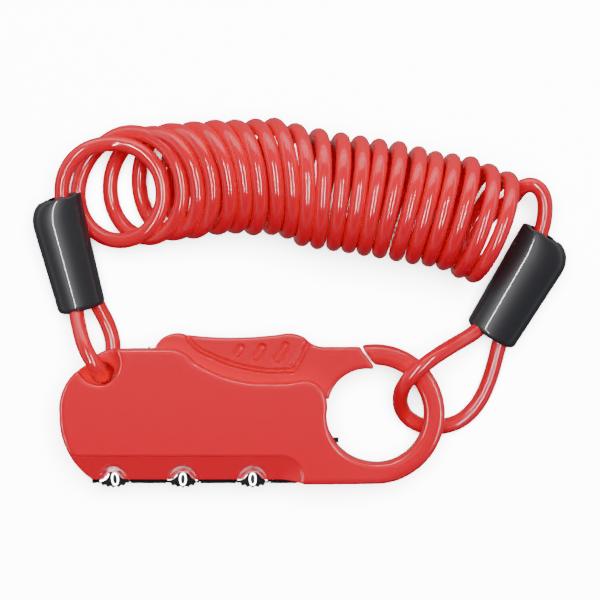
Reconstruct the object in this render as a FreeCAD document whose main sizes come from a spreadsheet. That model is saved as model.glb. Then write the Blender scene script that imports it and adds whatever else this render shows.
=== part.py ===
"""Cable luggage lock: die-cast combination clip with a coiled, plastic-coated steel cable.

Millimetres. The lock lies on its back: X runs from the cable eye to the hook, Z is square to the
front face, and the origin is under the middle of the lock's own box.
"""

import FreeCAD, Part
import Sketcher
import math
import os

from FreeCAD import Placement, Rotation, Vector

DIMENSIONS = {
    "case_height": 13.0,      # back face to front face
    "split_height": 3.0,      # where the two shells meet
    "wall": 1.2,
    "floor": 1.5,             # back cover under the works
    "gate_low": 3.2,
    "gate_high": 9.8,
    "gate_gap": 0.2,          # gate to shell, above and below
    "ring_centre_x": 25.5,
    "ring_centre_y": -0.7,
    "ring_outer": 14.5,
    "ring_inner": 10.15,
    "ring_chamfer": 1.4,
    "dial_pitch": 14.5,
    "dial_line_y": -10.55,
    "dial_radius": 5.5,
    "dial_low": 4.6,
    "dial_high": 8.8,
    "dial_bore": 1.85,
    "scallop_radius": 0.42,
    "scallop_out": 0.12,      # scallop centre beyond the rim
    "disc_room": 0.25,        # dial and cam to the walls of their pockets
    "disc_lift": 0.2,         # dial to its pocket, above and below
    "cam_radius": 3.3,
    "cam_low": 2.1,
    "cam_high": 4.4,
    "cam_boss": 1.8,
    "boss_short": 0.3,        # boss top below the dial's face
    "notch_depth": 1.3,
    "notch_width": 1.8,
    "post_radius": 1.2,
    "running_gap": 0.05,
    "window_line_y": -14.9,
    "window_low": 8.9,
    "window_small": 2.4,      # window radius at its bottom
    "window_large": 4.41,     # window radius at the front face
    "eye_dish": 4.2,
    "eye_hole": 2.25,
    "eye_bar_low": 4.6,
    "eye_bar_high": 8.4,
    "pivot_x": -16.5,
    "pivot_y": 8.8,
    "pin_radius": 1.0,
    "peg_radius": 0.9,
    "peg_short": 0.2,         # peg tip above the slide's underside
    "grip_depth": 0.6,
    "crank": 7.0,             # gate pivot to the peg that drives the slide
    "slide_low": 2.0,
    "slide_high": 4.2,
    "rivet_radius": 1.2,
    "rivet_head": 1.9,
    "rivet_wall": 1.1,        # boss round a rivet
    "rivet_top": 9.0,
    "head_low": 0.1,
    "head_high": 0.9,
    "cable_diameter": 3.1,
    "coil_diameter": 25.0,
    "ferrule_length": 12.0,
}
SCALLOPS = 30
DIALS = 3

os.makedirs("parts", exist_ok=True)
doc = FreeCAD.newDocument("cable_luggage_lock")
sheet = doc.addObject("Spreadsheet::Sheet", "sizes")
for row, (word, value) in enumerate(DIMENSIONS.items(), start=1):
    sheet.set(f"A{row}", word)
    sheet.set(f"B{row}", str(value))
    sheet.setAlias(f"B{row}", word)
doc.recompute()


def size(word):
    return float(sheet.get(word))


def bind(thing, **formulas):
    """Bind properties to formulas in which each word in backquotes is a cell of the sheet."""
    for name, formula in formulas.items():
        for word in DIMENSIONS:
            formula = formula.replace(f"`{word}`", f"sizes.{word}")
        thing.setExpression(name.replace("__", "."), formula)


# ---------------------------------------------------------------- outlines

def outline(start, steps):
    """Edges of a closed outline. A step is an end point, or a middle point and an end point."""
    edges = []
    here = start
    for step in steps:
        if isinstance(step[0], tuple):
            middle, end = step
            edges.append(Part.Arc(Vector(*here, 0), Vector(*middle, 0), Vector(*end, 0)))
        else:
            end = step
            edges.append(Part.LineSegment(Vector(*here, 0), Vector(*end, 0)))
        here = end
    return edges


def inset(edges, distance):
    """The same outline moved inwards, as sketch geometry."""
    wire = Part.Wire(Part.__sortEdges__([edge.toShape() for edge in edges]))
    moved = Part.Face(wire).makeOffset2D(-distance)
    result = []
    for edge in moved.OuterWire.Edges:
        first, last = edge.Vertexes[0].Point, edge.Vertexes[-1].Point
        if edge.Curve.TypeId == "Part::GeomLine":
            result.append(Part.LineSegment(first, last))
        else:
            low, high = edge.ParameterRange
            result.append(Part.Arc(edge.valueAt(low), edge.valueAt((low + high) / 2), edge.valueAt(high)))
    return result


GATE_EDGE = [                                   # front shell's edge over the gate, right to left
    ((13.7, 5.4), (10.1, 6.4)),
    (7.0, 5.9),
    (1.55, 5.9),
    ((-5.6, 7.15), (-12.2, 10.35)),
    ((-13.9, 11.9), (-16.2, 12.9)),
]
LEFT_END = [
    (-27.4, 12.9),
    ((-31.9, 12.0), (-34.9, 9.4)),
    ((-38.85, 5.2), (-39.95, -0.8)),
]
RING_SIDE = [                                   # beside the ring's hole, bottom to top
    (18.5, -15.2),
    (19.53, -8.91),
    ((16.27, -4.93), (15.35, -0.7)),
    ((15.5, 1.2), (15.2, 2.9)),
]
front_outline = outline(
    (-33.2, -14.24),
    [(5.0, -14.24), ((8.2, -14.5), (10.8, -15.2))] + RING_SIDE + GATE_EDGE + LEFT_END
    + [((-38.3, -8.2), (-33.2, -14.24))],
)
back_outline = outline(
    (-33.0, -15.1),
    [(10.8, -15.2)] + RING_SIDE + GATE_EDGE + LEFT_END + [((-38.6, -8.6), (-33.0, -15.1))],
)
gate_outline = outline(
    (24.8, 8.6),
    [
        ((25.1, 9.0), (25.0, 9.4)),
        (22.6, 12.7),
        ((22.4, 13.1), (22.0, 13.2)),
        (15.2, 13.2),
        ((12.6, 13.75), (10.9, 15.1)),
        ((8.3, 15.98), (5.6, 15.8)),
        ((-4.2, 15.15), (-14.0, 15.75)),
        ((-17.6, 15.75), (-20.3, 13.1)),
        (-20.3, 8.8),
        ((-19.4, 6.2), (-18.3, 4.6)),
        (-18.0, 1.8),
        ((-16.5, 0.3), (-15.0, 1.8)),
        (-14.2, 5.4),
        ((-12.6, 6.9), (-10.0, 6.6)),
        (9.0, 2.4),
        (15.84, 2.4),
        ((19.3, 7.35), (24.8, 8.6)),
    ],
)


# ---------------------------------------------------------------- building blocks

def plane(body, role):
    return next(item for item in body.Origin.OriginFeatures if item.Role == role)


def sketch(body, name, role="XY_Plane", height=None):
    drawing = body.newObject("Sketcher::SketchObject", name)
    drawing.AttachmentSupport = [(plane(body, role), "")]
    drawing.MapMode = "FlatFace"
    if height is not None:
        bind(drawing, AttachmentOffset__Base__z=height)
    return drawing


def circle(drawing, centre, formula):
    """A circle whose radius follows the sheet."""
    index = drawing.addGeometry(Part.Circle(Vector(*centre, 0), Vector(0, 0, 1), 1.0))
    number = drawing.addConstraint(Sketcher.Constraint("Radius", index, 1.0))
    bind(drawing, **{f"Constraints[{number}]": formula})
    return index


def pad(body, drawing, length):
    feature = body.newObject("PartDesign::Pad", drawing.Name + "_pad")
    feature.Profile = drawing
    bind(feature, Length=length)
    doc.recompute()
    return feature


def pocket(body, drawing, length, upwards=True):
    """Cut a pocket from the sketch's plane and make sure that it took something away."""
    before = body.Shape.Volume
    feature = body.newObject("PartDesign::Pocket", drawing.Name + "_pocket")
    feature.Profile = drawing
    feature.Reversed = upwards
    bind(feature, Length=length)
    doc.recompute()
    if not body.Shape.Volume < before:
        raise RuntimeError(f"{feature.Name} cuts nothing")
    return feature


def new_body(name):
    return doc.addObject("PartDesign::Body", name)


def cylinder(name, centre, radius, low, high):
    thing = doc.addObject("Part::Cylinder", name)
    bind(thing, Radius=radius, Height=f"({high}) - ({low})")
    bind(thing, Placement__Base__z=low)
    thing.Placement.Base = Vector(centre[0], centre[1], 0)
    return thing


def box(name, low, high):
    thing = doc.addObject("Part::Box", name)
    thing.Length, thing.Width, thing.Height = (high[i] - low[i] for i in range(3))
    thing.Placement = Placement(Vector(*low), Rotation())
    return thing


def joined(name, things):
    fusion = doc.addObject("Part::MultiFuse", name)
    fusion.Shapes = things
    return fusion


def common(name, first, second):
    both = doc.addObject("Part::Common", name)
    both.Base, both.Tool = first, second
    return both


def cut(name, base, tool):
    rest = doc.addObject("Part::Cut", name)
    rest.Base, rest.Tool = base, tool
    return rest


def group(name, things):
    bundle = doc.addObject("Part::Compound", name)
    bundle.Links = things
    return bundle


def feature(name, shape):
    thing = doc.addObject("Part::Feature", name)
    thing.Shape = shape
    return thing


dial_centres = [((i - 2) * size("dial_pitch"), size("dial_line_y")) for i in range(DIALS)]
ring_centre = (size("ring_centre_x"), size("ring_centre_y"))
pivot = (size("pivot_x"), size("pivot_y"))
EYE_FRONT_CENTRE = (-31.9, 9.9)
EYE_BACK_CENTRE = (-30.2, 10.4)
EYE_HOLE_CENTRE = (-31.1, 7.75)
RIVET_PLACES = [(-36.0, -1.0), (-24.0, 8.4), (12.0, -12.2)]


# ---------------------------------------------------------------- code works

def dial(number, centre):
    """Number disc: scalloped rim, open bore for the cam's boss."""
    body = new_body(f"dial_{number}")
    disc = sketch(body, f"dial_{number}_disc", height="`dial_low`")
    circle(disc, (0, 0), "`dial_radius`")
    circle(disc, (0, 0), "`dial_bore`")
    pad(body, disc, "`dial_high` - `dial_low`")
    hollow = sketch(body, f"dial_{number}_scallop", height="`dial_low`")
    circle(hollow, (size("dial_radius") + size("scallop_out"), 0), "`scallop_radius`")
    scallop = pocket(body, hollow, "`dial_high` - `dial_low`")
    ring = body.newObject("PartDesign::PolarPattern", f"dial_{number}_rim")
    ring.Originals = [scallop]
    ring.Axis = (hollow, ["N_Axis"])
    ring.Angle = 360
    ring.Occurrences = SCALLOPS
    body.Tip = ring
    body.Placement.Base = Vector(*centre, 0)
    return body


def hub(number, centre):
    """Code cam: a notched disc under the dial, with a boss that fills the dial's bore."""
    body = new_body(f"hub_{number}")
    cam = sketch(body, f"hub_{number}_cam", height="`cam_low`")
    circle(cam, (0, 0), "`cam_radius`")
    pad(body, cam, "`cam_high` - `cam_low`")
    boss = sketch(body, f"hub_{number}_boss", height="`cam_high`")
    circle(boss, (0, 0), "`cam_boss`")
    pad(body, boss, "`dial_high` - `cam_high` - `boss_short`")
    bore = sketch(body, f"hub_{number}_bore", height="`cam_low`")
    circle(bore, (0, 0), "`post_radius` + `running_gap`")
    pocket(body, bore, "`dial_high` - `cam_low`")
    notch = sketch(body, f"hub_{number}_notch", height="`cam_low`")
    inner, outer = size("cam_radius") - size("notch_depth"), size("cam_radius") + size("disc_room")
    half = size("notch_width") / 2
    for edge in outline((inner, -half), [(outer, -half), (outer, half), (inner, half), (inner, -half)]):
        notch.addGeometry(edge)
    pocket(body, notch, "`cam_high` - `cam_low`")
    body.Placement.Base = Vector(*centre, 0)
    return body


dials = [dial(i + 1, centre) for i, centre in enumerate(dial_centres)]
hubs = [hub(i + 1, centre) for i, centre in enumerate(dial_centres)]
posts = group("dial_posts", [
    cylinder(f"post_{i + 1}", centre, "`post_radius`", "`floor` / 2", "`dial_high` - `boss_short` / 3")
    for i, centre in enumerate(dial_centres)
])

TOOTH_START, TOOTH_END, TOOTH_TIP_Y = 5.0, 6.4, -11.35
BAR_LOW_Y, BAR_HIGH_Y = -5.8, -3.4
FORK_HALF, FORK_ABOVE, FORK_BELOW = 2.7, 1.5, 1.3   # half width, and its reach either side of the peg
FORK_ROOT = 0.2                                     # how far the fork sinks into the bar


def lock_slide():
    """Fence bar: one tooth beside each cam, and a fork round the gate's peg."""
    body = new_body("lock_slide")
    bar = sketch(body, "fence", height="`slide_low`")
    left = dial_centres[0][0] + TOOTH_START
    right = dial_centres[-1][0] + TOOTH_END
    steps = []
    for x, _ in dial_centres:
        steps += [(x + TOOTH_START, BAR_LOW_Y), (x + TOOTH_START, TOOTH_TIP_Y)]
        steps += [(x + TOOTH_END, TOOTH_TIP_Y), (x + TOOTH_END, BAR_LOW_Y)]
    steps = steps[1:-1] + [(right, BAR_HIGH_Y), (left, BAR_HIGH_Y)]
    for edge in outline((left, BAR_HIGH_Y), steps):
        bar.addGeometry(edge)
    pad(body, bar, "`slide_high` - `slide_low`")
    fork = sketch(body, "fork", height="`slide_low`")
    x, y = pivot[0], pivot[1] - size("crank")
    slot = size("peg_radius") + size("running_gap")
    left, right, root = x - FORK_HALF, x + FORK_HALF, BAR_HIGH_Y - FORK_ROOT
    top, bend = y + FORK_ABOVE, y - FORK_BELOW
    steps = [
        (right, top),
        (x + slot, top),
        (x + slot, bend),
        ((x, bend - slot), (x - slot, bend)),
        (x - slot, top),
        (left, top),
        (left, root),
        (right, root),
    ]
    for edge in outline((right, root), steps):
        fork.addGeometry(edge)
    pad(body, fork, "`split_height` - `slide_low`")
    return body


def gate_lever():
    """Swinging jaw with its pivot bore, its drive peg and the grips of its thumb pad."""
    body = new_body("gate_lever")
    lever = sketch(body, "lever", height="`gate_low`")
    for edge in gate_outline:
        lever.addGeometry(edge)
    pad(body, lever, "`gate_high` - `gate_low`")
    peg = sketch(body, "peg", height="`slide_low` + `peg_short`")
    circle(peg, (pivot[0], pivot[1] - size("crank")), "`peg_radius`")
    pad(body, peg, "`gate_high` - `slide_low` - 2 * `peg_short`")
    bore = sketch(body, "pivot_bore", height="`gate_low`")
    circle(bore, pivot, "`pin_radius` + `running_gap`")
    pocket(body, bore, "`gate_high` - `gate_low`")
    grips = sketch(body, "grips", height="`gate_high` - `grip_depth`")
    for x, y, length in GRIPS:
        for edge in obround(x, y, length, GRIP_WIDTH, GRIP_LEAN):
            grips.addGeometry(edge)
    pocket(body, grips, "`grip_depth`")
    return body


GRIPS = [(-2.8, 12.25, 3.5), (1.4, 11.9, 4.6), (6.0, 11.9, 5.4)]
GRIP_WIDTH, GRIP_LEAN = 2.3, 60.0


def obround(x, y, length, width, lean):
    """A slot shape whose long side leans at the given angle from X."""
    along = Vector(math.cos(math.radians(lean)), math.sin(math.radians(lean)), 0)
    across = Vector(-along.y, along.x, 0) * (width / 2)
    reach = along * ((length - width) / 2)
    middle = Vector(x, y, 0)
    a, b = middle + reach + across, middle + reach - across
    c, d = middle - reach - across, middle - reach + across
    return [
        Part.Arc(a, middle + reach + along * (width / 2), b),
        Part.LineSegment(b, c),
        Part.Arc(c, middle - reach - along * (width / 2), d),
        Part.LineSegment(d, a),
    ]


slide = lock_slide()
gate = gate_lever()
pin = cylinder("pivot_pin", pivot, "`pin_radius`", "`floor` / 2", "`case_height` - `wall` / 2")

SPRING_WIRE, SPRING_RADIUS, SPRING_RISE, SPRING_TURNS = 0.25, 1.6, 0.55, 2
SPRING_GAP = 0.1                                # wire to the gate, and to its hole
SPRING_LEG, SPRING_HOLE_START = 4.0, 2.5
SPRING_END = (-21.5, 13.3)                      # where the fixed leg shows in the top edge


def torsion_spring():
    """Left-hand coil round the pin: one leg lies on the gate, the other goes out through the shell."""
    centre = Vector(*pivot, size("gate_high") + SPRING_WIRE + SPRING_GAP)
    reach = Vector(*SPRING_END, centre.z) - centre
    leg = math.sqrt(reach.Length ** 2 - SPRING_RADIUS ** 2)
    leaving = math.atan2(reach.y, reach.x) - math.atan2(SPRING_RADIUS, leg)
    turn = 2 * math.pi * SPRING_TURNS + 1.5 * math.pi - (leaving + math.pi / 2)
    top = SPRING_RISE * turn / (2 * math.pi)
    helix = Part.makeHelix(SPRING_RISE, top, SPRING_RADIUS, 0, True)
    section = Part.Wire(Part.makeCircle(SPRING_WIRE, Vector(SPRING_RADIUS, 0, 0), Vector(0, 1, 0)))
    coil = Part.Wire(helix).makePipeShell([section], True, True)
    coil.rotate(Vector(0, 0, 0), Vector(0, 0, 1), -90)
    coil.translate(centre)
    along = Vector(math.cos(leaving), math.sin(leaving), 0)
    rim = centre + Vector(-along.y, along.x, 0) * SPRING_RADIUS + Vector(0, 0, top)
    low_leg = Part.makeCylinder(SPRING_WIRE, SPRING_LEG, centre - Vector(0, SPRING_RADIUS, 0), Vector(1, 0, 0))
    high_leg = Part.makeCylinder(SPRING_WIRE, leg, rim, along)
    hole = Part.makeCylinder(SPRING_WIRE + SPRING_GAP, leg, rim + along * SPRING_HOLE_START, along)
    return coil.fuse(low_leg).fuse(high_leg), hole


spring_shape, spring_hole_shape = torsion_spring()
gate_spring = feature("gate_spring", spring_shape)
spring_hole = feature("spring_hole", spring_hole_shape)


# ---------------------------------------------------------------- casing

def prism(name, edges, low, high):
    """A plain upright block of the outline between two heights."""
    body = new_body(name)
    drawing = sketch(body, name + "_outline", height=low)
    for edge in edges:
        drawing.addGeometry(edge)
    pad(body, drawing, f"({high}) - ({low})")
    return body


def shell(name, edges, low, high, cavity_low, cavity_depth):
    """The block, hollowed to its wall thickness."""
    body = prism(name, edges, low, high)
    hollow = sketch(body, name + "_cavity", height=cavity_low)
    for edge in inset(edges, size("wall")):
        hollow.addGeometry(edge)
    pocket(body, hollow, cavity_depth)
    return body


rivets = []
for i, place in enumerate(RIVET_PLACES, start=1):
    shank = cylinder(f"rivet_{i}_shank", place, "`rivet_radius`", "3 * `head_low`", "`rivet_top`")
    head = cylinder(f"rivet_{i}_head", place, "`rivet_head`", "`head_low`", "`head_high`")
    rivets.append(joined(f"rivet_{i}", [shank, head]))
cover_rivets = group("cover_rivets", rivets)

TOP, CEILING = "`case_height`", "`case_height` - `wall`"
eye_hole = cylinder("eye_hole", EYE_HOLE_CENTRE, "`eye_hole`", "0 - 1", "`case_height` + 1")
eye_back = cylinder("eye_back", EYE_BACK_CENTRE, "`eye_dish` + 0.5", "0 - 1", "`eye_bar_low`")
eye_front = cylinder("eye_front", EYE_FRONT_CENTRE, "`eye_dish`", "`eye_bar_high`", "`case_height` + 1")
eye_wall = cylinder("eye_wall", (-30.9, 8.9), "`eye_dish` + 2.2", "`floor`", CEILING)
rivet_walls = [
    cylinder(f"rivet_wall_{i}", place, "`rivet_radius` + `rivet_wall`", "`floor`", CEILING)
    for i, place in enumerate(RIVET_PLACES)
]
ring_root = box("ring_root", (13.2, -15.4, size("floor")), (20.0, -8.4, size("case_height") - size("wall")))
spring_seats = [
    box("spring_seat_left", (-38.6, -4.6, 4.4), (-36.4, -3.2, 12.0)),
    box("spring_seat_right", (6.9, -4.6, 4.4), (8.4, -3.0, 12.0)),
]
window_walls = [
    cylinder(f"window_wall_{i + 1}", (x, size("window_line_y")), "`window_large` + 0.5",
             "`dial_high` + `disc_lift`", CEILING)
    for i, (x, _) in enumerate(dial_centres)
]

ring = new_body("hook_ring")
band = sketch(ring, "hook_band", height="`gate_low`")
circle(band, ring_centre, "`ring_outer`")
circle(band, ring_centre, "`ring_inner`")
band_pad = pad(ring, band, "`gate_high` - `gate_low`")
softened = ring.newObject("PartDesign::Chamfer", "hook_edges")
softened.Base = (band_pad, [
    f"Edge{n}" for n, edge in enumerate(band_pad.Shape.Edges, start=1) if edge.Closed
])
bind(softened, Size="`ring_chamfer`")
doc.recompute()
gate_space = prism("gate_space", outline((22.6, 16.5), [
    (23.1, 13.3), (23.85, 11.6), (25.45, 9.8), (26.3, 8.8), (26.3, 5.0), (17.5, -4.6), (9.0, -4.6), (9.0, 16.5),
    (22.6, 16.5),
]), "1", "`case_height`")
hook = cut("hook", ring, gate_space)
root_fill = prism("root_fill", outline((18.0, -15.2), [
    (25.5, -15.2), (21.0, -13.0), (18.0, -11.0), (18.0, -15.2),
]), "`gate_low`", "`gate_high`")
band_backing = box("band_backing", (-38.0, -13.6, 9.9), (9.5, -10.5, 11.85))

front_block = prism("front_block", front_outline, "`split_height`", TOP)
front_shell = shell("front_shell", front_outline, "`split_height`", TOP, "`split_height`",
                    "`case_height` - `wall` - `split_height`")
front_inside = common("front_inside", front_block, joined(
    "front_bosses", [eye_wall, ring_root, band_backing] + rivet_walls + spring_seats + window_walls))
front_solid = joined("front_solid", [front_shell, front_inside, hook, root_fill])

gate_slot = prism("gate_slot", outline((-20.7, 17.0), [
    (-20.7, 8.0), (-10.0, 3.0), (9.0, -4.6), (17.2, -4.6), (17.2, 17.0), (-20.7, 17.0),
]), "`gate_low` - `gate_gap`", "`gate_high` + `gate_gap`")
dial_pockets = [
    cylinder(f"dial_pocket_{i + 1}", centre, "`dial_radius` + `disc_room`",
             "`dial_low` - `disc_lift`", "`dial_high` + `disc_lift`")
    for i, centre in enumerate(dial_centres)
]
cam_pockets = [
    cylinder(f"cam_pocket_{i + 1}", centre, "`cam_radius` + `disc_room`", "`floor`", "`dial_low`")
    for i, centre in enumerate(dial_centres)
]
windows = []
for i, (x, _) in enumerate(dial_centres):
    cone = doc.addObject("Part::Cone", f"window_{i + 1}")
    bind(cone, Radius1="`window_small`", Radius2="`window_large`", Height="`case_height` - `window_low`")
    cone.Placement.Base = Vector(x, size("window_line_y"), size("window_low"))
    windows.append(cone)
carrier_space = box("carrier_space", (-33.8, -16.5, 2.9), (9.6, -13.0, size("dial_high") + size("disc_lift")))
BAND_TOP_Y, BAND_DROP = -9.07, 20.0             # where the face starts to fall, and how steeply
BAND_START_X, BAND_LENGTH, BAND_WIDTH, BAND_DEPTH = -41.0, 48.0, 9.0, 6.0
band_slope = box("band_slope", (0, 0, 0), (BAND_LENGTH, BAND_WIDTH, BAND_DEPTH))
slope = Rotation(Vector(1, 0, 0), BAND_DROP)
band_slope.Placement = Placement(
    Vector(BAND_START_X, BAND_TOP_Y, size("case_height")) + slope.multVec(Vector(0, -BAND_WIDTH, 0)), slope)
reset_slot = box("reset_slot", (9.6, -6.85, 5.5), (19.0, -5.55, 7.3))
front_tools = joined("front_tools", [eye_hole, eye_back, eye_front, gate_slot, carrier_space, band_slope,
                                     reset_slot] + dial_pockets + windows)
front_cut = cut("front_cut", front_solid, front_tools)
fixings = group("fixings", [pin, cover_rivets, spring_hole])
front_housing = cut("front_housing", front_cut, fixings)

back_block = prism("back_block", back_outline, "0", "`split_height`")
back_shell = shell("back_shell", back_outline, "0", "`split_height`", "`floor`", "`split_height` - `floor`")
guide_rib = box("guide_rib", (-23.0, -5.0, size("floor") - 0.2), (5.0, -4.2, size("slide_low") - 0.1))
back_inside = common("back_inside", back_block, joined(
    "back_bosses", [eye_wall, ring_root, guide_rib] + rivet_walls))
back_solid = joined("back_solid", [back_shell, back_inside])
back_tools = joined("back_tools", [eye_hole, eye_back] + cam_pockets)
back_cut = cut("back_cut", back_solid, back_tools)
back_fixings = group("back_fixings", [pin, cover_rivets, posts])
back_cover = cut("back_cover", back_cut, back_fixings)

carrier_bar = box("carrier_bar", (-33.4, -15.1, 3.05), (9.2, -13.2, size("dial_high")))
dial_carrier = cut("dial_carrier", carrier_bar, joined("carrier_tools", dial_pockets + cam_pockets))
detent_spring = box("detent_spring", (-38.0, -4.9, 5.8), (8.2, -4.6, 7.4))
reset_slide = joined("reset_slide", [
    box("reset_tab", (10.9, -6.75, 5.6), (17.9, -5.65, 7.2)),
    box("reset_flange", (10.0, -7.5, 4.9), (11.0, -4.9, 7.9)),
])

# ---------------------------------------------------------------- cable

RADIUS = size("cable_diameter") / 2


def round_route(points):
    """Straight runs joined by tangent arcs, each as large as its two runs allow."""
    points = [Vector(*p) for p in points]
    edges, radii = [], []
    here = points[0]
    for before, corner, after in zip(points, points[1:], points[2:]):
        inwards, onwards = (corner - before), (after - corner)
        turn = inwards.getAngle(onwards)
        reach = 0.45 * min(inwards.Length, onwards.Length)
        start = corner - inwards.normalize() * reach
        end = corner + onwards.normalize() * reach
        bend = reach / math.tan(turn / 2)
        centre = corner + (onwards - inwards).normalize() * (bend / math.cos(turn / 2))
        middle = centre + (corner - centre).normalize() * bend
        edges += [Part.LineSegment(here, start).toShape(), Part.Arc(start, middle, end).toShape()]
        radii.append(bend)
        here = end
    edges.append(Part.LineSegment(here, points[-1]).toShape())
    return Part.Wire(edges), radii


def tube(name, points, radius=RADIUS):
    """A round tube along the rounded route; its volume has to be its section times its length."""
    wire, radii = round_route(points)
    start = Vector(*points[0])
    ring_wire = Part.Wire(Part.makeCircle(radius, start, Vector(*points[1]) - start))
    solid = wire.makePipeShell([ring_wire], True, False)
    expected = math.pi * radius ** 2 * wire.Length
    if abs(solid.Volume / expected - 1) > 0.01:
        raise RuntimeError(f"{name}: volume {solid.Volume:.1f}, expected {expected:.1f}")
    print(name, "length", round(wire.Length, 1), "radii", [round(r, 1) for r in radii])
    return feature(name, solid)


LOOP_LEFT = [(-37.8, 25.2, 4.5), (-37.0, 20.8, 4.9), (-36.0, 16.5, 8.4), (-34.6, 12.6, 10.9), (-32.5, 9.2, 10.8),
             (-31.0, 6.9, 6.5), (-30.3, 9.2, 2.0), (-29.2, 13.2, 1.9), (-30.3, 17.5, 2.0), (-32.3, 21.4, 3.2),
             (-34.5, 25.8, 4.5)]
LEAD_LEFT = [(-38.5, 37.3, 6.3), (-39.8, 43.6, 7.2), (-39.4, 48.6, 7.7), (-36.6, 52.2, 8.0), (-32.7, 53.8, 8.2)]
LEAD_RIGHT = [(51.5, 43.8, 9.0), (56.0, 46.4, 8.6), (59.8, 44.4, 8.0), (60.3, 39.2, 7.3), (56.2, 30.0, 6.2)]
LOOP_RIGHT = [(49.6, 19.9, 4.5), (46.7, 16.2, 5.3), (41.0, 13.3, 10.0), (35.6, 9.8, 12.0), (31.6, 6.1, 11.0),
              (30.4, 2.4, 6.4), (31.6, -1.2, 2.3), (34.8, -3.4, 1.65), (38.6, -3.9, 1.6), (43.4, -2.8, 1.6),
              (47.4, 1.0, 1.6), (49.9, 6.6, 1.8), (51.3, 12.6, 3.2), (52.7, 18.5, 4.5)]
COIL_AXIS = [(-32.6, 47.3, 12.5), (-21.0, 47.6, 12.5), (-4.0, 48.3, 12.5), (14.0, 46.2, 12.5), (32.0, 43.0, 12.5),
             (50.0, 38.4, 12.5)]

cable_parts = [
    tube("cable_loop_left", LOOP_LEFT),
    tube("cable_lead_left", LEAD_LEFT),
    tube("cable_coil", COIL_AXIS, size("coil_diameter") / 2),
    tube("cable_lead_right", LEAD_RIGHT),
    tube("cable_loop_right", LOOP_RIGHT),
]


def oval_at(place, along, width, thickness):
    """A flat oval, square to the cable's direction, its long side level."""
    level = Vector(along.y, -along.x, 0).normalize()
    centre, rise = Vector(*place), Vector(0, 0, thickness / 2)
    across, bulge = level * ((width - thickness) / 2), level * (width / 2)
    return Part.Wire([
        Part.LineSegment(centre - across + rise, centre + across + rise).toShape(),
        Part.Arc(centre + across + rise, centre + bulge, centre + across - rise).toShape(),
        Part.LineSegment(centre + across - rise, centre - across - rise).toShape(),
        Part.Arc(centre - across - rise, centre - bulge, centre - across + rise).toShape(),
    ])


def oval_sleeve(low, high, low_size, high_size):
    along = Vector(*high) - Vector(*low)
    return Part.makeLoft([oval_at(low, along, *low_size), oval_at(high, along, *high_size)], True, True)


def towards(low, high, distance):
    low, high = Vector(*low), Vector(*high)
    return low + (high - low).normalize() * distance


SLEEVES = {"left": ((-35.3, 21.1, 3.9), (-39.85, 44.3, 7.3)), "right": ((49.2, 15.1, 3.9), (59.5, 37.05, 7.3))}
# width and thickness at the lower and at the upper end
SLEEVE_OUTSIDE, SLEEVE_INSIDE = ((10.6, 7.2), (11.6, 7.4)), ((9.2, 6.0), (7.6, 4.6))
FERRULE_SECTION = (7.0, 4.0)
FERRULE_START, OVERSHOOT = 4.5, 0.5
for side, (low, high) in SLEEVES.items():
    outside = oval_sleeve(low, high, *SLEEVE_OUTSIDE)
    mouth, end = towards(low, high, -OVERSHOOT), towards(high, low, -OVERSHOOT)
    inside = oval_sleeve(mouth, end, *SLEEVE_INSIDE)
    cable_parts.append(feature(f"sleeve_{side}", outside.cut(inside)))
    start = towards(low, high, FERRULE_START)
    stop = towards(low, high, FERRULE_START + size("ferrule_length"))
    crimp = oval_sleeve(start, stop, FERRULE_SECTION, FERRULE_SECTION)
    cable_parts.append(feature(f"ferrule_{side}", crimp))

# ---------------------------------------------------------------- files

nodes = dials + hubs + cable_parts + [
    front_housing, back_cover, cover_rivets, dial_carrier, posts, detent_spring, slide, gate, pin, gate_spring,
    reset_slide,
]
doc.recompute()
faults = [thing.Name for thing in doc.Objects if {"Invalid", "Error"} & set(thing.State)]
for node in nodes:
    if node.Shape.isNull() or not node.Shape.isValid():
        faults.append(node.Name + " shape")
if faults:
    raise RuntimeError(f"failed: {faults}")
for node in nodes:
    node.Label = node.Name
    node.Shape.exportStep(f"parts/{node.Label}.step")
    room = node.Shape.BoundBox
    print(f"{node.Label:18} solids {len(node.Shape.Solids)} volume {node.Shape.Volume:9.1f}"
          f"  X {room.XMin:7.2f} {room.XMax:7.2f}  Y {room.YMin:7.2f} {room.YMax:7.2f}"
          f"  Z {room.ZMin:6.2f} {room.ZMax:6.2f}")
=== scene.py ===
"""Looks of the cable luggage lock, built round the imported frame.

Shapes are worked out in millimetres as signed distances (negative inside), skinned, and scaled to
metres.
"""

import math

import bpy
import numpy as np
from mathutils import Matrix, Vector


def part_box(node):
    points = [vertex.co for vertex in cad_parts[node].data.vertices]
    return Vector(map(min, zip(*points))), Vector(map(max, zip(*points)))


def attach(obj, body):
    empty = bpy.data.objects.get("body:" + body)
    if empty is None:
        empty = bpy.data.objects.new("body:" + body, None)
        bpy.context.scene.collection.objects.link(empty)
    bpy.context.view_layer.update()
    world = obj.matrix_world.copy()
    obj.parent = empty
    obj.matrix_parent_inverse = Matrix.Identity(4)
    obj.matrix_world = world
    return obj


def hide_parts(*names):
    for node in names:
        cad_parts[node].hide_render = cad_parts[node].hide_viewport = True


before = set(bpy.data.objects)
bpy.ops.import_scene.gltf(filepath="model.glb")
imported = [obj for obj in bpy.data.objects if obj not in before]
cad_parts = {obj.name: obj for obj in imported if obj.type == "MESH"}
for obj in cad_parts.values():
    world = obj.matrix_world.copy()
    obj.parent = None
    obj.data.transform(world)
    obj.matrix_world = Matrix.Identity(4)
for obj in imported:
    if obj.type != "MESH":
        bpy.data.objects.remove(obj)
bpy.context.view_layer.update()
MM = 0.001


# ---------------------------------------------------------------- places taken from the frame

def box_mm(node):
    low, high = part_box(node)
    return np.array(low) / MM, np.array(high) / MM


def middle(node):
    low, high = box_mm(node)
    return (low + high) / 2


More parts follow.
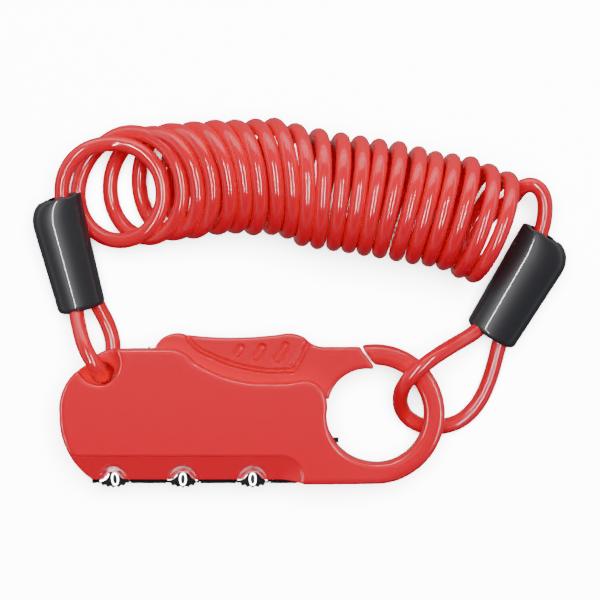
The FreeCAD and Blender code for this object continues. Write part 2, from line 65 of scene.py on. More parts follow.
CASE_TOP = box_mm("front_housing")[1][2]
CASE_SPLIT = box_mm("back_cover")[1][2]
GATE_HIGH = box_mm("gate_lever")[1][2]
DIAL_LOW, DIAL_HIGH = box_mm("dial_1")[0][2], box_mm("dial_1")[1][2]
DIAL_CENTRES = [middle(f"dial_{i}")[:2] for i in (1, 2, 3)]
PIVOT = middle("pivot_pin")[:2]

# measures that the boxes don't give
GATE_LOW = 3.2          # underside of the gate's jaw and of the ring
RING_OUTER, RING_INNER = 14.5, 10.15
RING_CENTRE = np.array([box_mm("front_housing")[1][0] - RING_OUTER, -0.7])
WALL = 1.2
FLOOR_TOP = 1.5
ROOM = 0.2              # running room round what moves inside the casing
SEAM = 0.02             # half the seam between the two shells
CRISP, SMALL, SOFT = 0.1, 0.12, 0.3     # the edge radii used most


# ---------------------------------------------------------------- signed distances

class Outline:
    """Signed distance to a closed outline of lines and arcs, read from a fine lookup grid."""

    CELL = 0.1
    MARGIN = 3.0

    def __init__(self, start, steps):
        points = [np.array(start, float)]
        for step in steps:
            if isinstance(step[0], tuple):
                points += arc_points(points[-1], np.array(step[0]), np.array(step[1]))
            else:
                points.append(np.array(step, float))
        ring = np.array(points)
        if np.allclose(ring[0], ring[-1]):
            ring = ring[:-1]
        self.low = ring.min(axis=0) - self.MARGIN
        count = np.ceil((ring.max(axis=0) + self.MARGIN - self.low) / self.CELL).astype(int) + 1
        x = self.low[0] + self.CELL * np.arange(count[0])[:, None]
        y = self.low[1] + self.CELL * np.arange(count[1])[None, :]
        self.grid = polygon_distance(ring, x, y)

    def __call__(self, x, y):
        u = np.clip((x - self.low[0]) / self.CELL, 0, self.grid.shape[0] - 1.001)
        v = np.clip((y - self.low[1]) / self.CELL, 0, self.grid.shape[1] - 1.001)
        i, j = u.astype(int), v.astype(int)
        a, b = u - i, v - j
        g = self.grid
        near = g[i, j] * (1 - b) + g[i, j + 1] * b
        far = g[i + 1, j] * (1 - b) + g[i + 1, j + 1] * b
        return near * (1 - a) + far * a


def arc_points(start, via, end, chord=0.25):
    """Points after start on the circle through three points."""
    ax, ay, bx, by, cx, cy = *start, *via, *end
    d = 2 * (ax * (by - cy) + bx * (cy - ay) + cx * (ay - by))
    a2, b2, c2 = ax * ax + ay * ay, bx * bx + by * by, cx * cx + cy * cy
    centre = np.array([(a2 * (by - cy) + b2 * (cy - ay) + c2 * (ay - by)) / d,
                       (a2 * (cx - bx) + b2 * (ax - cx) + c2 * (bx - ax)) / d])
    first, mid, last = (math.atan2(*(p - centre)[::-1]) for p in (start, via, end))
    sweep = (last - first) % math.tau
    if (mid - first) % math.tau > sweep:
        sweep -= math.tau
    radius = np.linalg.norm(start - centre)
    count = max(3, math.ceil(abs(sweep) * radius / chord))
    angles = first + sweep * np.arange(1, count + 1) / count
    return [centre + radius * np.array([math.cos(t), math.sin(t)]) for t in angles]


def polygon_distance(ring, x, y):
    """Signed distance to a closed polygon, by even and odd crossings."""
    distance = np.full(np.broadcast(x, y).shape, np.inf)
    inside = np.zeros(distance.shape, bool)
    for (ax, ay), (bx, by) in zip(ring, np.roll(ring, -1, axis=0)):
        ex, ey = bx - ax, by - ay
        t = np.clip(((x - ax) * ex + (y - ay) * ey) / (ex * ex + ey * ey), 0, 1)
        distance = np.minimum(distance, (x - ax - t * ex) ** 2 + (y - ay - t * ey) ** 2)
        if ay != by:
            inside ^= ((ay > y) != (by > y)) & (x < ex * (y - ay) / ey + ax)
    return np.where(inside, -1, 1) * np.sqrt(distance)


def both(a, b, r=0.0):
    """Intersection, with its edge rounded to radius r."""
    if r == 0:
        return np.maximum(a, b)
    return np.minimum(np.maximum(a, b), -r) + np.hypot(np.maximum(a + r, 0), np.maximum(b + r, 0))


def either(a, b, r=0.0):
    """Union, with its inner corner filled to radius r."""
    return -both(-a, -b, r)


def without(a, b, r=0.0):
    """What is left of a once b is cut away, with the cut's edge rounded to radius r."""
    return both(a, -b, r)


def slab(z, low, high):
    """Between two planes."""
    return np.maximum(low - z, z - high)


def disc(x, y, centre, radius):
    """An upright round bar without ends."""
    return np.hypot(x - centre[0], y - centre[1]) - radius


def block(x, y, z, low, high):
    """A box between two opposite corners."""
    sides = np.maximum(slab(x, low[0], high[0]), slab(y, low[1], high[1]))
    return np.maximum(sides, slab(z, low[2], high[2]))


# ---------------------------------------------------------------- skinning

CORNERS = np.array([(i, j, k) for i in (0, 1) for j in (0, 1) for k in (0, 1)])
CELL_EDGES = [(a, b) for a in range(8) for b in range(a + 1, 8)
              if np.abs(CORNERS[a] - CORNERS[b]).sum() == 1]


def skin(name, field, low, high, step):
    """A closed mesh of the field's zero surface: one point in each cell that it crosses."""
    axes = [np.arange(low[i] - 2 * step, high[i] + 3 * step, step) for i in range(3)]
    x, y, z = np.meshgrid(*axes, indexing="ij", sparse=True)
    value = np.broadcast_to(field(x, y, z), [len(a) for a in axes])
    inside = value < 0
    size = np.array(value.shape) - 1
    total = sum(inside[i:i + size[0], j:j + size[1], k:k + size[2]].astype(np.int8)
                for i, j, k in CORNERS)
    cells = np.argwhere((total > 0) & (total < 8))
    index = np.full(size, -1)
    index[tuple(cells.T)] = np.arange(len(cells))
    at_corner = np.array([value[tuple((cells + c).T)] for c in CORNERS])
    points, hits = np.zeros((len(cells), 3)), np.zeros(len(cells))
    for a, b in CELL_EDGES:
        crossed = (at_corner[a] < 0) != (at_corner[b] < 0)
        gap = np.where(crossed, at_corner[a] - at_corner[b], 1)
        t = np.where(crossed, at_corner[a] / gap, 0)[:, None]
        points += crossed[:, None] * (CORNERS[a] + t * (CORNERS[b] - CORNERS[a]))
        hits += crossed
    points = (cells + points / hits[:, None]) * step + np.array([a[0] for a in axes])
    faces = []
    for axis in range(3):
        one = np.roll((1, 0, 0), axis)
        ends = [slice(1, n) for n in size]
        ends[axis] = slice(0, size[axis])
        here = inside[tuple(ends)]
        there = inside[tuple(slice(s.start + d, s.stop + d) for s, d in zip(ends, one))]
        u, v = np.roll((0, 1, 0), axis), np.roll((0, 0, 1), axis)
        for flip in (False, True):
            found = np.argwhere((there & ~here) if flip else (here & ~there))
            found = found + np.array([s.start for s in ends])
            quad = [index[tuple(c.T)] for c in (found - u - v, found - v, found, found - u)]
            faces.append(np.stack(quad[::-1] if flip else quad, axis=1))
    settle(field, points, step)
    return mesh_object(name, points * MM, np.concatenate(faces))


def settle(field, points, step, rounds=2):
    """Move the points on to the surface along the field's slope."""
    h = step * 0.1
    for _ in range(rounds):
        x, y, z = points.T
        f = field(x, y, z)
        slope = np.stack([field(x + h, y, z), field(x, y + h, z), field(x, y, z + h)], axis=1)
        slope = (slope - f[:, None]) / h
        steep = (slope ** 2).sum(axis=1)
        move = -f / np.maximum(steep, 0.25)
        points += np.clip(move[:, None] * slope, -step * 0.5, step * 0.5)


def mesh_object(name, points, faces):
    mesh = bpy.data.meshes.new(name)
    mesh.from_pydata(points.tolist(), [], faces.tolist())
    mesh.update()
    mesh.shade_smooth()
    piece = bpy.data.objects.new(name, mesh)
    bpy.context.scene.collection.objects.link(piece)
    return piece


# ---------------------------------------------------------------- casing

# stretches of the outline that both shells share; a pair of points is an arc: a point on it and its end
GATE_EDGE = [((13.7, 5.4), (10.1, 6.4)), (7.0, 5.9), (1.55, 5.9), ((-5.6, 7.15), (-12.2, 10.35)),
             ((-13.9, 11.9), (-16.2, 12.9))]
LEFT_END = [(-27.4, 12.9), ((-31.9, 12.0), (-34.9, 9.4)), ((-38.85, 5.2), (-39.95, -0.8))]
RING_CORNER = (19.53, -8.91)
RING_SIDE = [((16.27, -4.93), (15.35, -0.7)), ((15.5, 1.2), (15.2, 2.9))]
front_edge = Outline((-33.2, -14.24), [
    (5.0, -14.24), ((8.2, -14.5), (10.8, -15.2)), (25.5, -15.2), ((29.8, -14.5), (33.8, -12.3)),
    (32.1, -9.3), ((26.2, -10.83), RING_CORNER), *RING_SIDE, *GATE_EDGE, *LEFT_END,
    ((-38.3, -8.2), (-33.2, -14.24))])
back_edge = Outline((-33.0, -15.1), [
    (10.8, -15.2), (18.5, -15.2), RING_CORNER, *RING_SIDE, *GATE_EDGE, *LEFT_END,
    ((-38.6, -8.6), (-33.0, -15.1))])
plateau = Outline((-44.0, -5.0), [
    (-39.9, -5.0), ((-38.6, -7.9), (-35.6, -9.07)), (6.1, -9.07), ((9.3, -10.6), (10.7, -14.1)),
    (11.0, -22.0), (30.0, -22.0), (30.0, 22.0), (-44.0, 22.0), (-44.0, -5.0)])
hook_gap = Outline((22.4, 16.5), [
    (22.8, 13.4), (23.3, 12.3), (25.25, 9.7), (25.85, 8.8), (26.0, 5.0), (17.5, -4.6), (9.0, -4.6),
    (9.0, 16.5), (22.4, 16.5)])
gate_space = Outline((-20.7, 17.0), [
    (-20.7, 8.0), (-10.0, 3.0), (9.0, -4.6), (17.2, -4.6), (17.2, 17.0), (-20.7, 17.0)])

RIVETS = [(-36.0, -1.0), (-24.0, 8.4), (12.0, -12.2)]
RIVET_WALL, RIVET_HEAD, RIVET_SHANK = 2.3, 2.1, 1.2
RIVET_TOP, RIVET_SEAT = 9.0, 0.9
PIVOT_HOLE, PIVOT_FOOT = 1.0, 0.75
EYE, EYE_HOLE = (-31.1, 7.75), 2.25
EYE_WALL = (-30.9, 8.9), 6.4            # centre and radius of the wall round the eye
EYE_FRONT, EYE_FRONT_FLOOR = ((-31.9, 9.9), 4.4), 8.4
EYE_BACK, EYE_BACK_TOP = ((-30.2, 10.4), 4.7), 4.6
RING_ROOT = (13.2, -15.4), (20.0, -8.4)
SPRING_SEATS = [((-38.6, -4.6, 4.4), (-36.4, -3.2, 12.0)), ((6.9, -4.6, 4.4), (8.4, -3.0, 12.0))]
CARRIER_SPACE = (-33.8, -17.5, 2.0), (9.6, -13.0, DIAL_HIGH + ROOM)
RESET_SLOT = (9.6, -6.85, 5.5), (19.0, -5.55, 7.3)
GUIDE_RIB = (-23.0, -5.0, 1.3), (5.0, -4.2, 1.9)
CASE_END, HOLLOW_END = 18.5, 14.0       # X where the deep case and its hollow stop
CASE_ROUND, BACK_ROUND, RING_ROUND, HOOK_ROUND = 1.2, 1.0, 1.6, 0.5
EYE_ROUND, EYE_FRONT_ROUND, EYE_FRONT_FILL, EYE_BACK_ROUND, EYE_BACK_FILL = 0.4, 0.9, 1.6, 0.8, 0.6
DESCENT_START, DESCENT_LENGTH, DESCENT_EXTRA = 15.0, 17.0, 0.4
DESCENT_EVEN = 0.65                     # share of the descent that is even; the rest eases in and out
BAND_FALL, BAND_STEP, BAND_ROUND = math.radians(20), 0.35, 0.2
WINDOW_Y, WINDOW_RADIUS, WINDOW_FLARE = -14.9, 2.05, 0.58
WINDOW_FOOT, WINDOW_LOW = 8.9, 8.8      # Z where the window has its radius, and where it starts
PINCH, PINCH_HEIGHT = 0.25, 1.6         # how much narrower at the dial's face, and up to what height
WINDOW_WALL = -14.5, 5.1                # centre Y and radius of the solid round each window
DIAL_POCKET, HUB_RECESS = 5.75, 3.55
POST_HOLE, POST_FOOT = 1.2, 0.75


def bosses(x, y, z):
    """What stands inside the hollow casing: walls round the eye, the rivets and the ring's root."""
    found = disc(x, y, *EYE_WALL)
    for place in RIVETS:
        found = np.minimum(found, disc(x, y, place, RIVET_WALL))
    (left, front), (right, back) = RING_ROOT
    root = np.maximum(slab(x, left, right), slab(y, front, back))
    return np.minimum(found, root) + 0 * z


def smooth(t):
    """From 0 to 1, easing in and out."""
    t = np.clip(t, 0, 1)
    return t * t * (3 - 2 * t)


def descent(x):
    """How far the face has sunk on its way from the case round the foot of the ring."""
    t = np.clip((x - DESCENT_START) / DESCENT_LENGTH, 0, 1)
    return (CASE_TOP - GATE_HIGH + DESCENT_EXTRA) * (DESCENT_EVEN * t + (1 - DESCENT_EVEN) * smooth(t))


def ring_band(x, y, z):
    """The ring all the way round, before the hook's gap is cut."""
    middle_radius, half = (RING_OUTER + RING_INNER) / 2, (RING_OUTER - RING_INNER) / 2
    across = np.abs(disc(x, y, RING_CENTRE, middle_radius)) - half
    return both(both(across, z - GATE_HIGH, RING_ROUND), GATE_LOW - z, RING_ROUND)


def lower_band(x, y, z):
    """The face beyond the plateau: a small step, then a slope down to the dials."""
    beyond = np.maximum(plateau(x, y), 0)
    fall = z - CASE_TOP + BAND_STEP * smooth(beyond / BAND_STEP) + math.tan(BAND_FALL) * beyond
    return fall * math.cos(BAND_FALL)


def window(x, y, z, centre_x):
    """The flared opening over one dial, drawn in a little close to the dial's face."""
    pinch = PINCH * np.clip(1 - (z - DIAL_HIGH) / PINCH_HEIGHT, 0, 1) * np.clip(y - WINDOW_Y, -1, 3)
    away = np.hypot((x - centre_x) * (1 + pinch), y - WINDOW_Y)
    cone = (away - WINDOW_RADIUS - (z - WINDOW_FOOT) * WINDOW_FLARE) / math.hypot(1, WINDOW_FLARE)
    return np.maximum(cone, WINDOW_LOW - z)


def front_hollow(x, y, z, edge, fall):
    """The empty inside of the front shell."""
    hollow = np.maximum(np.maximum(np.maximum(edge, fall), z - CASE_TOP) + WALL, x - HOLLOW_END)
    hollow = np.maximum(hollow, -bosses(x, y, z))
    for seat in SPRING_SEATS:
        hollow = np.maximum(hollow, -block(x, y, z, *seat))
    wall_y, wall_radius = WINDOW_WALL
    for cx, cy in DIAL_CENTRES:
        wall = np.maximum(disc(x, y, (cx, wall_y), wall_radius), DIAL_HIGH + ROOM - z)
        hollow = np.maximum(hollow, -wall)
    return hollow


def front_housing(x, y, z):
    edge, fall = front_edge(x, y), lower_band(x, y, z)
    shape = both(both(edge, z - CASE_TOP + descent(x), CASE_ROUND), fall, BAND_ROUND)
    shape = np.maximum(shape, np.minimum(GATE_LOW - z, x - CASE_END))
    hollow = front_hollow(x, y, z, edge, fall)
    shape = np.maximum(shape, -hollow)
    band = without(ring_band(x, y, z), hook_gap(x, y), HOOK_ROUND)
    shape = both(either(shape, np.maximum(band, -hollow), SOFT), CASE_SPLIT + SEAM - z, SMALL)
    shape = without(shape, disc(x, y, EYE, EYE_HOLE), EYE_ROUND)
    recess = both(disc(x, y, *EYE_FRONT), EYE_FRONT_FLOOR - z, EYE_FRONT_FILL)
    shape = without(shape, recess, EYE_FRONT_ROUND)
    shape = without(shape, both(disc(x, y, *EYE_BACK), z - EYE_BACK_TOP, EYE_BACK_FILL), SOFT)
    shape = without(shape, both(gate_space(x, y), slab(z, GATE_LOW - ROOM, GATE_HIGH + ROOM)), SMALL)
    for cx, cy in DIAL_CENTRES:
        pocket = np.maximum(disc(x, y, (cx, cy), DIAL_POCKET),
                            slab(z, DIAL_LOW - ROOM, DIAL_HIGH + ROOM))
        shape = np.maximum(shape, -pocket)
        shape = without(shape, window(x, y, z, cx), SOFT)
    shape = np.maximum(shape, -block(x, y, z, *CARRIER_SPACE))
    shape = np.maximum(shape, -block(x, y, z, *RESET_SLOT))
    for place in RIVETS:
        shape = np.maximum(shape, -np.maximum(disc(x, y, place, RIVET_SHANK), z - RIVET_TOP))
    return np.maximum(shape, -np.maximum(disc(x, y, PIVOT, PIVOT_HOLE), z - CASE_TOP + WALL / 2))


def back_cover(x, y, z):
    edge = back_edge(x, y)
    shape = both(both(edge, -z, BACK_ROUND), z - CASE_SPLIT + SEAM, SMALL)
    hollow = np.maximum(np.maximum(edge + WALL, FLOOR_TOP - z), -bosses(x, y, z))
    hollow = np.maximum(hollow, -block(x, y, z, *GUIDE_RIB))
    shape = np.maximum(shape, -hollow)
    shape = without(shape, disc(x, y, EYE, EYE_HOLE), EYE_ROUND)
    shape = without(shape, disc(x, y, *EYE_BACK), EYE_BACK_ROUND)
    for cx, cy in DIAL_CENTRES:
        shape = np.maximum(shape, -np.maximum(disc(x, y, (cx, cy), HUB_RECESS), FLOOR_TOP - z))
        shape = np.maximum(shape, -np.maximum(disc(x, y, (cx, cy), POST_HOLE), POST_FOOT - z))
    for place in RIVETS:
        head = np.maximum(disc(x, y, place, RIVET_HEAD), slab(z, -1.0, RIVET_SEAT))
        shape = without(shape, np.minimum(disc(x, y, place, RIVET_SHANK), head), CRISP)
    return np.maximum(shape, -np.maximum(disc(x, y, PIVOT, PIVOT_HOLE), PIVOT_FOOT - z))


# ---------------------------------------------------------------- gate

gate_edge = Outline((24.8, 8.6), [
    ((25.1, 9.0), (25.0, 9.4)), (22.6, 12.7), ((22.4, 13.1), (22.0, 13.2)), (15.2, 13.2),
    ((12.6, 13.75), (10.9, 15.1)), ((8.3, 15.98), (5.6, 15.8)), ((-4.2, 15.15), (-14.0, 15.75)),
    ((-17.6, 15.75), (-20.3, 13.1)), (-20.3, 8.8), ((-19.4, 6.2), (-18.3, 4.6)), (-18.0, 1.8),
    ((-16.5, 0.3), (-15.0, 1.8)), (-14.2, 5.4), ((-12.6, 6.9), (-10.0, 6.6)), (9.0, 2.4), (15.84, 2.4),
    ((19.3, 7.35), (24.8, 8.6))])
thumb_pad = Outline((-13.4, 17.5), [
    (-13.8, 15.0), ((-12.2, 13.0), (-9.8, 11.5)), ((-4.3, 9.25), (1.55, 8.0)), ((3.25, 7.8), (7.0, 7.9)),
    ((8.9, 8.15), (9.7, 9.3)), (11.9, 13.5), (13.5, 16.4), (13.5, 17.5), (-13.4, 17.5)])
GATE_ROUND = 0.9
GROOVE_WIDTH, GROOVE_APART, GROOVE_DEPTH = 0.4, 0.8, 0.8
GRIPS = [(-2.8, 12.25, 3.5), (1.4, 11.9, 4.6), (6.0, 11.9, 5.4)]    # centre X, centre Y and length
GRIP_WIDTH, GRIP_LEAN, GRIP_DEPTH = 2.3, math.radians(60), 0.8
GRIP_ROUND = 0.15
GRIP_BEAD, GRIP_BEAD_DEEP = 0.62, 0.75      # radius of the bead in each grip, and its middle's depth
PAD_RIB = ((8.0, 9.8), (10.6, 14.0))
PAD_RIB_BEAD, PAD_RIB_DEEP = 0.32, 0.12
CRANK, PEG_RADIUS, PEG_LOW, PEG_HIGH = 7.0, 0.9, 2.2, 8.0
GATE_BORE = 1.1


def bar_distance(x, y, a, b):
    """Distance from a straight line between two points."""
    ex, ey = b[0] - a[0], b[1] - a[1]
    t = np.clip(((x - a[0]) * ex + (y - a[1]) * ey) / (ex * ex + ey * ey), 0, 1)
    return np.hypot(x - a[0] - t * ex, y - a[1] - t * ey)


def grip_line(cx, cy, length):
    """Both ends of a grip's middle line."""
    reach = (length - GRIP_WIDTH) / 2
    dx, dy = reach * math.cos(GRIP_LEAN), reach * math.sin(GRIP_LEAN)
    return (cx - dx, cy - dy), (cx + dx, cy + dy)


def gate_lever(x, y, z):
    thick = np.abs(z - (GATE_LOW + GATE_HIGH) / 2) - (GATE_HIGH - GATE_LOW) / 2
    shape = both(gate_edge(x, y), thick, GATE_ROUND)
    up = z - GATE_HIGH
    pad = thumb_pad(x, y)
    groove = np.maximum(np.minimum(np.abs(pad), np.abs(pad + GROOVE_APART)) - GROOVE_WIDTH / 2,
                        -up - GROOVE_DEPTH)
    shape = without(shape, groove, CRISP)
    for grip in GRIPS:
        line = bar_distance(x, y, *grip_line(*grip))
        well = both(line - GRIP_WIDTH / 2 + 0.1, -up - GRIP_DEPTH, SOFT)
        shape = without(shape, well, GRIP_ROUND)
        shape = either(shape, np.hypot(line, up + GRIP_BEAD_DEEP) - GRIP_BEAD, CRISP)
    rib = np.hypot(bar_distance(x, y, *PAD_RIB), up + PAD_RIB_DEEP) - PAD_RIB_BEAD
    shape = either(shape, rib, GRIP_ROUND)
    peg = np.maximum(disc(x, y, (PIVOT[0], PIVOT[1] - CRANK), PEG_RADIUS), slab(z, PEG_LOW, PEG_HIGH))
    return without(np.minimum(shape, peg), disc(x, y, PIVOT, GATE_BORE), CRISP)


# ---------------------------------------------------------------- dials

SCALLOPS, SCALLOP_RADIUS, SCALLOP_OUT = 30, 0.42, 0.12
DIAL_RADIUS, DIAL_BORE = 5.5, 1.85


def dial_at(centre):
    """Field of one scalloped disc with its bore."""

    def field(x, y, z):
        away = np.hypot(x - centre[0], y - centre[1])
        angle = np.arctan2(y - centre[1], x - centre[0])
        step = math.tau / SCALLOPS
        off = (angle + step / 2) % step - step / 2
        dent = np.hypot(away * np.cos(off) - DIAL_RADIUS - SCALLOP_OUT, away * np.sin(off))
        rim = without(away - DIAL_RADIUS, dent - SCALLOP_RADIUS, SMALL)
        thick = np.abs(z - (DIAL_LOW + DIAL_HIGH) / 2) - (DIAL_HIGH - DIAL_LOW) / 2
        return np.maximum(both(rim, thick, SOFT), DIAL_BORE - away)
    return field


# ---------------------------------------------------------------- sleeves

# lower end, upper end, width at each, half width of the cut top and how far it sits off the axis
SLEEVES = {"left": ((-35.7, 20.9, 3.9), (-41.6, 44.2, 7.3), 10.0, 11.4, 3.9, 2.2),
           "right": ((49.4, 15.3, 3.9), (61.9, 36.2, 7.3), 11.2, 12.6, 3.9, -2.2)}
SLEEVE_THICK, SLEEVE_WALL = 7.3, 1.0
SHOULDER, SHOULDER_THINNER = 5.5, 0.7       # length of the drawn-in end, and how much thinner it gets
OVAL = 2.05                                 # 2 is an ellipse; more is squarer
CUT_WAVE, CUT_ROUND, MOUTH_ROUND = 0.15, 0.35, 1.3


def sleeve_field(low, high, low_width, high_width, top_half, top_shift):
    """A flattened soft tube drawn in at a rounded shoulder, cut off a little unevenly at the top."""
    axis = Vector(high) - Vector(low)
    length, along = axis.length, axis.normalized()
    level = Vector((along.y, -along.x, 0)).normalized()
    rise = level.cross(along)

    def field(x, y, z):
        dx, dy, dz = x - low[0], y - low[1], z - low[2]
        s, u, v = (dx * way[0] + dy * way[1] + dz * way[2] for way in (along, level, rise))
        half = (low_width + (high_width - low_width) * np.clip(s / length, 0, 1)) / 2
        drawn = 1 - np.sqrt(1 - np.clip((s - length + SHOULDER) / SHOULDER, 0, 1) ** 2)
        thick = SLEEVE_THICK / 2 - SHOULDER_THINNER * drawn
        half = half + (top_half - half) * drawn
        flat = (np.abs((u - top_shift * drawn) / half) ** OVAL + np.abs(v / thick) ** OVAL) ** (1 / OVAL)
        tube = (flat - 1) * thick
        end = s - length + CUT_WAVE + CUT_WAVE * np.sin(1.7 * u + 0.8 * v)
        outer = both(both(tube, end, CUT_ROUND), -s, MOUTH_ROUND)
        return without(outer, tube + SLEEVE_WALL, SOFT)
    return field


# ---------------------------------------------------------------- materials

def plain(name, colour, rough=0.4, metal=0.0, shine=0.5, coat=0.0, coat_rough=0.05,
          grain=0.0, grain_size=900.0):
    """One Principled material; grain is the depth of a fine casting or moulding texture."""
    material = bpy.data.materials.new(name)
    material.use_nodes = True
    nodes, links = material.node_tree.nodes, material.node_tree.links
    skin_node = nodes["Principled BSDF"]
    skin_node.inputs["Base Color"].default_value = (*colour, 1)
    skin_node.inputs["Roughness"].default_value = rough
    skin_node.inputs["Metallic"].default_value = metal
    skin_node.inputs["Specular IOR Level"].default_value = shine
    skin_node.inputs["Coat Weight"].default_value = coat
    skin_node.inputs["Coat Roughness"].default_value = coat_rough
    if grain:
        place, noise, bump = (nodes.new(kind) for kind in
                              ("ShaderNodeTexCoord", "ShaderNodeTexNoise", "ShaderNodeBump"))
        noise.inputs["Scale"].default_value = grain_size
        noise.inputs["Detail"].default_value = 3
        bump.inputs["Strength"].default_value = grain
        bump.inputs["Distance"].default_value = 0.0002
        links.new(place.outputs["Object"], noise.inputs["Vector"])
        links.new(noise.outputs["Fac"], bump.inputs["Height"])
        links.new(bump.outputs["Normal"], skin_node.inputs["Normal"])
    return material


LOOKS = {
    "red_paint": plain("paint", (1.0, 0.0, 0.025), rough=0.2, shine=0.45, grain=0.06, grain_size=700),
    "cable_red": plain("cable_skin", (1.0, 0.0, 0.025), rough=0.11, shine=0.55),
    "sleeve_black": plain("vinyl", (0.024, 0.024, 0.03), rough=0.42, shine=0.3, coat=0.5, coat_rough=0.06,
                          grain=0.1, grain_size=160),
    "dial_black": plain("wheel", (0.02, 0.02, 0.023), rough=0.5, shine=0.25, grain=0.1),
    "black_plastic": plain("carrier", (0.018, 0.018, 0.02), rough=0.45, grain=0.1),
    "digit_white": plain("figures", (1.0, 1.0, 1.0), rough=0.5),
    "plain_steel": plain("steel", (0.55, 0.55, 0.56), rough=0.3, metal=1.0, grain=0.05),
    "rivet_metal": plain("rivets", (0.5, 0.49, 0.47), rough=0.36, metal=1.0, grain=0.08),
    "cam_brass": plain("brass", (0.7, 0.5, 0.22), rough=0.35, metal=1.0, grain=0.05),
    "ferrule_metal": plain("crimp", (0.62, 0.62, 0.63), rough=0.38, metal=1.0, grain=0.1),
}


def dress(piece, slot):
    """Give a piece its slot's look and nothing else."""
    piece.data.materials.clear()
    piece.data.materials.append(LOOKS[slot])


def finish_as(piece, slot):
    """Give a piece its slot's look."""
    dress(piece, slot)


# ---------------------------------------------------------------- bodies

def grown(name, field, node, body, slot, step, margin=0.4):
    """Skin a field over the box of the node that it replaces."""
    low, high = box_mm(node)
    piece = skin(name, field, low - margin, high + margin, step)
    finish_as(piece, slot)
    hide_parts(node)
    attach(piece, body)


grown("casting_front", front_housing, "front_housing", "root", "red_paint", 0.3)
grown("casting_back", back_cover, "back_cover", "root", "red_paint", 0.3)
grown("casting_gate", gate_lever, "gate_lever", "gate", "red_paint", 0.17)
for number, centre in enumerate(DIAL_CENTRES, start=1):
    grown(f"wheel_{number}", dial_at(centre), f"dial_{number}", f"code_{number}", "dial_black", 0.16)
for side, measures in SLEEVES.items():
    grown(f"heatshrink_{side}", sleeve_field(*measures), f"sleeve_{side}", "root", "sleeve_black", 0.26,
          margin=2.5)

for slot, nodes in {
    "rivet_metal": ["cover_rivets"],
    "black_plastic": ["dial_carrier", "reset_slide"],
    "plain_steel": ["dial_posts", "detent_spring", "lock_slide", "pivot_pin", "gate_spring"],
    "cam_brass": ["hub_1", "hub_2", "hub_3"],
    "ferrule_metal": ["ferrule_left", "ferrule_right"],
}.items():
    for node in nodes:
        dress(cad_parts[node], slot)


# ---------------------------------------------------------------- digits

DIGIT_RADIUS, DIGIT_HEIGHT = 3.85, 2.7
FONT_SIZE_PER_HEIGHT = 1.42             # size that makes a figure one unit high
DIGIT_SQUEEZE = 0.93                    # width against the font's own
DIGIT_THICK, DIGIT_LIFT = 0.03, 0.02    # half the print's thickness, and its middle's height on the dial
FIRST_TURN = {1: 6.0, 2: 0.0, 3: 0.0}   # how far each wheel's figures stand turned, in degrees
bright_white = bpy.data.collections.new("bright_white")


def digits(number, centre):
    """The ten printed figures of one wheel, heads towards its centre."""
    for value in range(10):
        turn = math.radians(FIRST_TURN[number] + 36 * value)
        text = bpy.data.curves.new(f"figure_{number}_{value}", "FONT")
        text.body = str(value)
        text.size = DIGIT_HEIGHT * FONT_SIZE_PER_HEIGHT * MM
        text.align_x, text.align_y = "CENTER", "CENTER"
        text.extrude = DIGIT_THICK * MM
        text.resolution_u = 6
        figure = bpy.data.objects.new(text.name, text)
        bpy.context.scene.collection.objects.link(figure)
        x = centre[0] + DIGIT_RADIUS * math.sin(turn)
        y = centre[1] - DIGIT_RADIUS * math.cos(turn)
        place = Matrix.Translation(Vector((x, y, DIAL_HIGH + DIGIT_LIFT)) * MM)
        figure.matrix_world = (place @ Matrix.Rotation(turn, 4, "Z")
                               @ Matrix.Diagonal((DIGIT_SQUEEZE, 1, 1, 1)))
        finish_as(figure, "digit_white")
        bright_white.objects.link(figure)
        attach(figure, f"code_{number}")


for number, centre in enumerate(DIAL_CENTRES, start=1):
    digits(number, centre)


# ---------------------------------------------------------------- cable

CORD = 3.25                             # thickness of the coated cable
LOOP_LEFT = [
    (-37.8, 25.2, 4.5), (-37.0, 20.8, 4.9), (-36.0, 16.5, 8.4), (-34.6, 12.6, 10.9), (-32.5, 9.2, 10.8),
    (-31.0, 6.4, 6.5), (-30.3, 9.2, 2.0), (-29.2, 13.2, 1.9), (-30.3, 17.5, 2.0), (-32.3, 21.4, 3.2),
    (-34.5, 25.8, 4.5)]
LEAD_LEFT = [
    (-38.5, 37.3, 6.3), (-39.6, 42.5, 7.4), (-39.8, 47.0, 8.7), (-38.6, 50.3, 9.6), (-36.8, 52.7, 10.1),
    (-34.2, 54.5, 10.2), (-31.3, 55.3, 10.0)]
LEAD_RIGHT = [
    (54.2, 43.9, 5.0), (55.6, 46.3, 7.9), (57.6, 47.1, 8.8), (59.6, 46.3, 8.6), (60.8, 44.0, 8.1),
    (60.9, 41.0, 7.6), (60.3, 37.5, 7.2), (57.5, 31.0, 6.4)]
LOOP_RIGHT = [
    (49.6, 19.9, 4.5), (46.7, 16.2, 5.3), (41.0, 13.3, 10.0), (35.6, 9.8, 12.0), (31.6, 6.1, 11.0),
    (30.4, 2.4, 6.4), (31.6, -1.2, 2.3), (34.8, -3.4, 1.65), (38.6, -3.9, 1.6), (43.4, -2.8, 1.6),
    (47.4, 1.0, 1.6), (49.9, 6.6, 1.8), (51.3, 12.6, 3.2), (52.7, 18.5, 4.5)]
